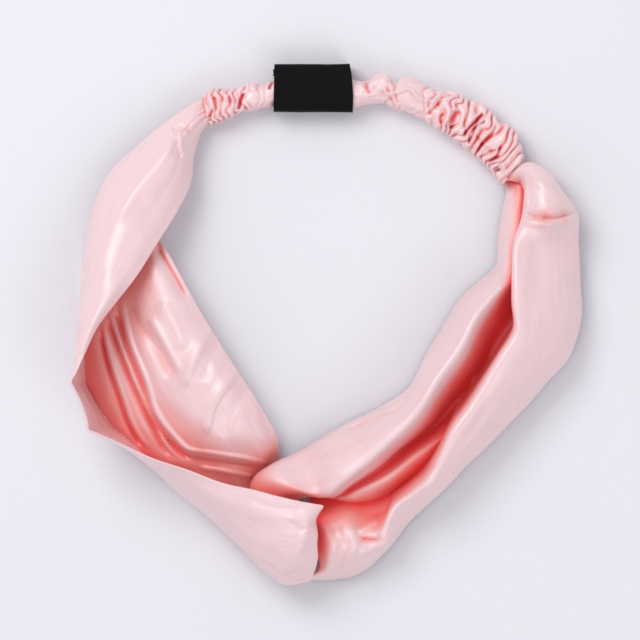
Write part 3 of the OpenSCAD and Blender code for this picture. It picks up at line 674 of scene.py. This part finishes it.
# Matching points on the casing's outer and inner edges in plan, and how far its folds stand:
# (outer x, outer y, inner x, inner y, fold height, fold spacing). Its halves meet at SPLIT,
# under the label.
SPLIT = (-5.9, 90.2, -5.9, 78.8, 0.10, 4.0)
CASING_LEFT = [
    SPLIT, (-12, 89.7, -12, 78.6, 0.10, 4.0), (-18.5, 87.4, -18.5, 78.2, 0.15, 4.0),
    (-21.5, 86, -21, 77.3, 0.2, 4.0), (-24.5, 85.4, -24, 76.8, 0.2, 5.0),
    (-27.4, 86.2, -26.5, 75.8, 0.35, 4.0),
    (-30.2, 84.6, -29.5, 76, 0.8, 2.6), (-33, 83.4, -32.2, 75.2, 1.1, 2.2),
    (-36.5, 83.6, -35.5, 73.2, 1.0, 2.3),
    (-40.5, 83.6, -39.3, 71.8, 1.1, 2.1), (-43.6, 82.4, -42.8, 71.4, 0.9, 2.0),
    (-45.4, 80.2, -43.8, 72.6, 0.4, 2.0),
]
CASING_RIGHT = [
    SPLIT, (3, 89.3, 3, 78.4, 0.12, 4.0), (9.5, 86.8, 9.5, 76.9, 0.15, 5.0),
    (13.5, 86.4, 13.5, 78.2, 0.2, 5.0), (17, 89.4, 17.5, 78.4, 0.25, 5.5), (21, 88.9, 21, 78.2, 0.35, 4.5),
    (23.3, 85.4, 24, 76.3, 0.45, 4.5), (27.5, 88.2, 27.5, 75.8, 0.35, 5.5), (32, 87.2, 31, 74.4, 0.3, 6.0),
    (36, 84.2, 34, 72.8, 0.5, 4.5), (41, 82.6, 38, 70.2, 0.9, 3.2), (46, 82.2, 41.5, 68.2, 1.25, 3.6),
    (50.5, 79.2, 45, 66.2, 1.3, 3.6), (56, 77.8, 48.5, 63.4, 1.3, 3.4), (60.5, 72.4, 52.5, 60.1, 1.3, 3.4),
    (66.2, 69.8, 56, 57, 1.3, 2.8), (68.3, 64.5, 58.6, 54.3, 1.1, 3.0), (70, 59, 61, 50.6, 0.8, 3.0),
    (70, 56.6, 62.6, 49.2, 0.4, 3.0),
]


def casing_grid(stops, seed, around=96, pitch=0.24):
    """Rings of the casing, ruffled, as [along, around, 3], and how far each point faces up."""
    stops = np.asarray(stops, float)
    length = np.linalg.norm(np.diff((stops[:, :2] + stops[:, 2:4]) / 2, axis=0), axis=1).sum()
    fine = spline(stops, int(length / pitch))
    outer, inner, height, spacing = fine[:, :2], fine[:, 2:4], fine[:, 4], fine[:, 5]
    middle, half = (outer + inner) / 2, (outer - inner) / 2
    run = run_of(middle)
    phase = np.concatenate([[0], np.cumsum(np.diff(run) / ((spacing[1:] + spacing[:-1]) / 2))])
    turn = np.linspace(0, 2 * math.pi, around, endpoint=False)
    c, t = np.cos(turn), np.sin(turn)
    square_c, square_t = np.sign(c) * np.abs(c) ** 0.8, np.sign(t) * np.abs(t) ** 0.8
    push = np.zeros((len(fine), around))
    for i, s in enumerate(run):
        for k in range(around):
            warp = noise.noise(Vector((s / 4.5, c[k] * 1.5, t[k] * 1.5 + seed)))
            lean = noise.noise(Vector((s / 9.0, c[k] * 0.8 + 7, t[k] * 0.8 + seed)))
            fold = abs(math.sin(math.pi * (phase[i] + 0.75 * warp + 1.2 * lean))) ** 0.8
            swell = noise.noise(Vector((s / 6.0, c[k] * 1.1 + 13, t[k] * 1.1 + seed)))
            ruffle = height[i] * (1.25 * fold - 0.75) * (1 + 0.7 * warp)
            push[i, k] = ruffle + 0.5 * swell * min(1, height[i] * 3)
    # Where the label slides, the casing keeps low and plain.
    sliding = (middle[:, 0] > -25.5) & (middle[:, 0] < 19)
    tall = np.where(sliding, 4.6, 5.2)
    tall = np.convolve(np.pad(tall, 12, mode="edge"), np.ones(25) / 25, mode="valid")[:, None]
    # The end is drawn in round the band's neck.
    tall *= 0.68 + 0.32 * smoothstep(0, 2.4, run[-1] - run)[:, None]
    grid = np.zeros((len(fine), around, 3))
    width = np.linalg.norm(half, axis=1)[:, None]
    out = (width + push) * square_c
    grid[..., :2] = middle[:, None] + (half / width)[:, None] * out[..., None]
    grid[..., 2] = CASING_Z + (tall + push) * square_t
    return grid, np.clip(np.broadcast_to(t, push.shape) * 1.6, 0, 1)


def sleeve_mesh(name, outer, thick):
    """An open tube of cloth through rings of points in mm, with its wall inside them."""
    n = np.cross(np.gradient(outer, axis=0), np.roll(outer, -1, axis=1) - np.roll(outer, 1, axis=1))
    n /= np.linalg.norm(n, axis=2, keepdims=True) + 1e-12
    middle = outer.mean(1, keepdims=True)
    if ((outer - middle) * n).sum() < 0:
        n = -n
    inner = outer - n * thick
    rows, sides = outer.shape[:2]
    verts = np.concatenate([outer.reshape(-1, 3), inner.reshape(-1, 3)])
    shift = rows * sides
    faces = []
    for i in range(rows - 1):
        for k in range(sides):
            a, b = i * sides + k, i * sides + (k + 1) % sides
            faces.append((a, b, b + sides, a + sides))
            faces.append((shift + a, shift + a + sides, shift + b + sides, shift + b))
    for k in range(sides):
        b, e = (k + 1) % sides, (rows - 1) * sides
        faces.append((k, shift + k, shift + b, b))
        faces.append((e + k, e + b, shift + e + b, shift + e + k))
    mesh = bpy.data.meshes.new(name)
    mesh.from_pydata(place(verts).tolist(), [], faces)
    lay_weave(mesh, run_of(outer.mean(1)) * MM, run_of(outer[rows // 2]) * MM)
    return finish_mesh(name, mesh)


left_casing_grid, left_up = casing_grid(CASING_LEFT, 4.0)
right_casing_grid, right_up = casing_grid(CASING_RIGHT, 17.0)
for line, depth, near, far, lip in (
    ([(-32.4, 76), (-31.8, 79), (-30.6, 82.5)], 2.6, 0.5, 0.9, 0.7),
    ([(-43.3, 72), (-42.4, 74), (-41.6, 76.5)], 2.2, 0.5, 0.8, 0.5),
    ([(-40.2, 75.5), (-40.5, 78), (-41.2, 81)], 1.6, 0.4, 0.8, 0.5),
    ([(-29.6, 84), (-27.6, 83.9), (-25.6, 83.4)], -0.6, 0.8, 1.2, 0.0),
    ([(-21.6, 83.4), (-20.4, 85.4), (-18.6, 87)], 1.8, 0.4, 0.7, 0.3),
    ([(-38, 79.5), (-35.5, 81.4), (-33.4, 79)], -0.9, 0.6, 0.8, 0.0),
):
    crease(left_casing_grid, line, depth, near, far, ridge=lip, mask=left_up)
for line, depth, near, far, lip in (
    ([(8.5, 81.6), (12, 81.3), (15.5, 81.2), (17.6, 81.9)], -0.4, 0.6, 0.8, 0.0),
    ([(17.2, 81.7), (19.7, 84), (20.8, 82.2), (25.1, 82.5), (28, 83.8),
      (29.9, 83.1), (31.7, 81), (34.7, 79.5), (37.7, 79.2), (41, 81)], -1.3, 0.7, 0.9, 0.0),
    ([(13.2, 86.5), (13.9, 84), (14.9, 81.9)], 1.3, 0.4, 0.8, 0.0),
    ([(22, 81), (23, 78.5), (23.8, 76)], 1.2, 0.5, 1.0, 0.3),
    ([(34.6, 73.6), (37.6, 76.6), (41.3, 80.4)], 1.0, 0.4, 0.8, 0.3),
    ([(40.3, 71), (40.3, 73.8), (41.4, 74.8)], 1.8, 0.6, 0.6, 0.3),
    ([(43.4, 69.2), (44.6, 72.4), (46.2, 76.2)], 3.2, 1.0, 1.2, 0.9),
    ([(48.3, 66.8), (50.2, 69.4), (52.4, 71.8), (55.8, 75.2)], 2.6, 0.45, 0.8, 0.8),
    ([(50.3, 63), (50.9, 67.8), (56.9, 72.8)], 1.8, 0.4, 0.7, 0.6),
    ([(53, 60.6), (55.1, 64.2), (59.3, 69), (60.6, 71.6)], 1.8, 0.4, 0.7, 0.6),
    ([(52.7, 67.8), (55.1, 64.2), (59.9, 60.6)], 1.5, 0.4, 0.7, 0.5),
    ([(56.9, 57.2), (60.5, 60), (61.7, 63.6)], 2.0, 0.4, 0.8, 0.6),
    ([(59.3, 57.6), (61.7, 57.6), (63.4, 54.8), (64.4, 52.2)], -1.4, 0.6, 0.8, 0.0),
    ([(64.8, 51.8), (66.4, 54), (68.8, 56)], 1.8, 0.5, 0.9, 0.8),
    ([(60.1, 55.9), (60.7, 55), (61.3, 54)], 2.4, 0.9, 0.9, 0.0),
):
    crease(right_casing_grid, line, depth, near, far, ridge=lip, mask=right_up)


def stretchy(piece, body, slot, *nodes):
    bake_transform(piece)
    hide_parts(*nodes)


casing_left = sleeve_mesh("casing_left", left_casing_grid, 0.5)
casing_right = sleeve_mesh("casing_right", right_casing_grid, 0.5)
for piece in (casing_left, casing_right):
    piece.data.materials.append(satin_casing)


def casing_middle(stops):
    stops = np.asarray(stops, float)
    return (stops[:, :2] + stops[:, 2:4]) / 2


def inside_casing(name, stops, last, width, tall, z, step=0.5, ribs=0.0):
    """A flat strip, or a thread, along the inside of the casing, from its middle outward."""
    line = spline(casing_middle(stops), 160)
    run = run_of(line)
    count = int((run[-1] - last) / step)
    at = np.linspace(0, run[-1] - last, count)
    line = np.stack([np.interp(at, run, line[:, k]) for k in (0, 1)], 1)
    heading = np.gradient(line, axis=0)
    heading /= np.linalg.norm(heading, axis=1, keepdims=True)
    across = np.stack([-heading[:, 1], heading[:, 0]], 1)
    rings = []
    for i, (p, a) in enumerate(zip(line, across)):
        h = tall / 2 * (1 - ribs * (i % 2))
        ring = []
        for k in range(16):
            turn = 2 * math.pi * (k + 0.5) / 16
            o = width / 2 * math.copysign(abs(math.cos(turn)) ** 0.35, math.cos(turn))
            v = h * math.copysign(abs(math.sin(turn)) ** 0.5, math.sin(turn))
            ring.append((p[0] + a[0] * o, p[1] + a[1] * o, z + v))
        rings.append(ring)
    return tube_mesh(name, place(np.array(rings)))


for body, stops in (("left_side", CASING_LEFT), ("right_side", CASING_RIGHT)):
    word = body.split("_")[0]
    elastic = inside_casing(f"elastic_{word}", stops, 5.0, 8.0, 1.0, CASING_Z, ribs=0.12)
    elastic.data.materials.append(elastic_cloth)
    stretchy(elastic, body, "elastic", "elastic_strip")
    seam = inside_casing(f"casing_seam_{word}", stops, 1.5, 0.5, 0.5, CASING_Z - 3.5)
    seam.data.materials.append(pink_thread)
    stretchy(seam, body, "pink_thread", "casing_seam")

# ---------------------------------------------------------------- the bands' closing seams
THREAD_R = 0.22
SEAM_ROWS = 360


def edge_seam(name, grid, shares, col, side, material):
    """A thread along a band, near an edge: on its lower face where side is 1, within the cloth
    where side is 0. side is a number, or one for each of its SEAM_ROWS rows."""
    rows = np.linspace(shares[0] * (len(grid) - 1), shares[1] * (len(grid) - 1), SEAM_ROWS).astype(int)
    n = normals_of(grid)
    line = grid[rows, col] + n[rows, col] * np.reshape(side, (-1, 1)) * (CLOTH_T / 2 + 0.05)
    heading = np.gradient(line, axis=0)
    heading /= np.linalg.norm(heading, axis=1, keepdims=True)
    a = np.cross(heading, n[rows, col])
    a /= np.linalg.norm(a, axis=1, keepdims=True)
    b = np.cross(heading, a)
    turns = 2 * math.pi * np.arange(8) / 8
    round_thread = a[:, None] * np.cos(turns)[None, :, None] + b[:, None] * np.sin(turns)[None, :, None]
    rings = line[:, None] + THREAD_R * round_thread
    seam = tube_mesh(name, place(rings))
    seam.data.materials.append(material)
    return seam


# The left band's thread dives into the cloth before the knot and stays there.
LEFT_SEAM_RUN = (left_at[2], left_at[44])
RIGHT_SEAM_RUN = (right_at[3], right_at[41])
LEFT_BACK = 1 - smoothstep(left_at[16], left_at[20], np.linspace(*LEFT_SEAM_RUN, SEAM_ROWS))
RIGHT_BACK = 1
SEAM_FROM_EDGE = 8
left_seam = edge_seam(
    "left_closing_seam", left_grid, LEFT_SEAM_RUN, LEFT_COLS - 1 - SEAM_FROM_EDGE, LEFT_BACK, pink_thread)
right_seam = edge_seam(
    "right_closing_seam", right_grid, RIGHT_SEAM_RUN, RIGHT_COLS - 1 - SEAM_FROM_EDGE, RIGHT_BACK,
    pink_thread)
for seam, body, node in (
    (left_seam, "left_side", "left_band_seam"),
    (right_seam, "right_side", "right_band_seam"),
):
    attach(seam, body)
    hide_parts(node)

# ---------------------------------------------------------------- the label
label_low, label_high = (np.array(corner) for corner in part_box("wrap_label"))
label_mid = (label_low + label_high) / 2
label_half = (label_high - label_low) / 2


def label_rings(count=150, around=128):
    """The woven strip wrapped into a flattened sleeve, a little wider at its front edge."""
    rings = np.zeros((count, around, 3))
    for i, u in enumerate(np.linspace(-1, 1, count)):
        for k in range(around):
            turn = 2 * math.pi * k / around
            c, t = math.cos(turn), math.sin(turn)
            y = math.copysign(abs(c) ** 0.42, c)
            z = math.copysign(abs(t) ** 0.55, t)
            front = (1 - y) / 2
            x = u * label_half[0] * (0.965 + 0.05 * front) + 0.0004 * front
            x += 0.0005 * (1 - y * y) * max(0, u) ** 6
            crumple = noise.noise(Vector((u * 2.2, y * 1.4, 5 + z))) * 0.00035 * (1 - 0.5 * abs(u))
            rolled = 0.00012 * math.exp(-((1 - abs(u)) / 0.035) ** 2)
            flare = 1 + 0.02 * max(0, u) ** 4
            top = crumple if t > 0 else 0
            rings[i, k] = (
                label_mid[0] + x,
                label_mid[1] - 0.0007 + y * (label_half[1] - 0.0002) * flare + crumple * 0.5,
                label_mid[2] + z * (label_half[2] - 0.0001) + top + rolled * math.copysign(1, t),
            )
    return (rings - ORIGIN) / MM / FIT


label = sleeve_mesh("label_sleeve", label_rings(), 0.4)
label.data.materials.append(label_cloth)
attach(label, "label")
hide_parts("wrap_label")

# The strip's inner end shows past the sleeve at its back corner.
END_STEPS = np.linspace(0, 1, 24)


def label_end_point(u, v):
    x = -20.1 + 0.6 * math.sin(3 * v) + 4.5 * u
    y = 88.3 + 2.3 * v + 0.3 * u
    z = 9.9 + 0.5 * math.sin(2.4 * v + 0.6) - 0.4 * v
    return x, y, z


tongue_grid = np.array([[label_end_point(u, v) for v in END_STEPS] for u in END_STEPS])
label_end = cloth_mesh("label_inner_end", tongue_grid, 0.4)
label_end.data.materials.append(label_cloth)
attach(label_end, "label")

# The stitching that shows in the CAD's own shape
for node, material in (
    ("label_seam_thread", black_thread), ("left_gather_thread", pink_thread),
    ("right_gather_thread", pink_thread), ("left_elastic_stitches", pink_thread),
    ("right_elastic_stitches", pink_thread),
):
    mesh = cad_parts[node].data
    mesh.materials.clear()
    mesh.materials.append(material)

# ---------------------------------------------------------------- light in the folds
bpy.context.view_layer.update()
# How strongly each band's folds are painted with shade.
left_cloth["depth"], right_cloth["depth"] = 0.72, 1.15
paint_fold_shade((left_cloth, right_cloth), (left_cloth, right_cloth))
for casing, grid in ((casing_left, left_casing_grid), (casing_right, right_casing_grid)):
    # Painted shade: a valley, where a point sits lower than its neighbours along the casing, takes a higher
    # fold value and so a deeper coral.
    middle = grid.mean(1, keepdims=True)
    away = np.linalg.norm(grid - middle, axis=2)
    around = np.stack([np.roll(away, k, axis=0) for k in range(-7, 8)]).mean(0)
    value = np.clip((around - away) * 0.5, 0, 0.75) + 0.03
    both = np.concatenate([value.ravel(), value.ravel()]).astype(np.float32)
    casing.data.attributes.new("fold", "FLOAT", "POINT").data.foreach_set("value", both)
stretchy(casing_left, "left_side", "satin_casing", "elastic_casing")
stretchy(casing_right, "right_side", "satin_casing", "elastic_casing")

# ---------------------------------------------------------------- studio
def plane(name, size, z):
    mesh = bpy.data.meshes.new(name)
    corners = [(-size, -size, z), (size, -size, z), (size, size, z), (-size, size, z)]
    mesh.from_pydata(corners, [], [(0, 1, 2, 3)])
    obj = bpy.data.objects.new(name, mesh)
    bpy.context.scene.collection.objects.link(obj)
    return obj


floor = plane("floor", 3.0, float(cad_low[2]) - 0.0002)
paper, nodes, links, shader = new_material("paper")
shader.inputs["Base Color"].default_value = (0.80, 0.795, 0.825, 1)
shader.inputs["Roughness"].default_value = 0.9
floor.data.materials.append(paper)


def area_light(name, at, target, size, power, colour=(1, 1, 1)):
    data = bpy.data.lights.new(name, "AREA")
    data.shape = "SQUARE"
    data.size = size
    data.energy = power
    data.color = colour
    obj = bpy.data.objects.new(name, data)
    obj.location = at
    obj.rotation_euler = (Vector(target) - Vector(at)).to_track_quat("-Z", "Y").to_euler()
    bpy.context.scene.collection.objects.link(obj)


area_light("overhead", (-0.45, 0.55, 0.95), (0, 0, 0), 0.6, 6.0)
area_light("front", (0.5, -0.65, 0.9), (0, 0, 0), 0.6, 2.4)

world = bpy.data.worlds.new("studio")
world.use_nodes = True
world.node_tree.nodes["Background"].inputs["Color"].default_value = (0.93, 0.94, 1.0, 1)
world.node_tree.nodes["Background"].inputs["Strength"].default_value = 0.67
bpy.context.scene.world = world
bpy.context.scene.view_settings.view_transform = "Standard"

CAMERA_HEIGHT = 3.0
VIEW_WIDTH = 0.2304
camera_data = bpy.data.cameras.new("camera")
camera_data.sensor_width = 36
camera_data.lens = 36 * CAMERA_HEIGHT / VIEW_WIDTH
camera = bpy.data.objects.new("camera", camera_data)
camera.location = (-0.00306, 0.00072, CAMERA_HEIGHT)
bpy.context.scene.collection.objects.link(camera)
bpy.context.scene.camera = camera
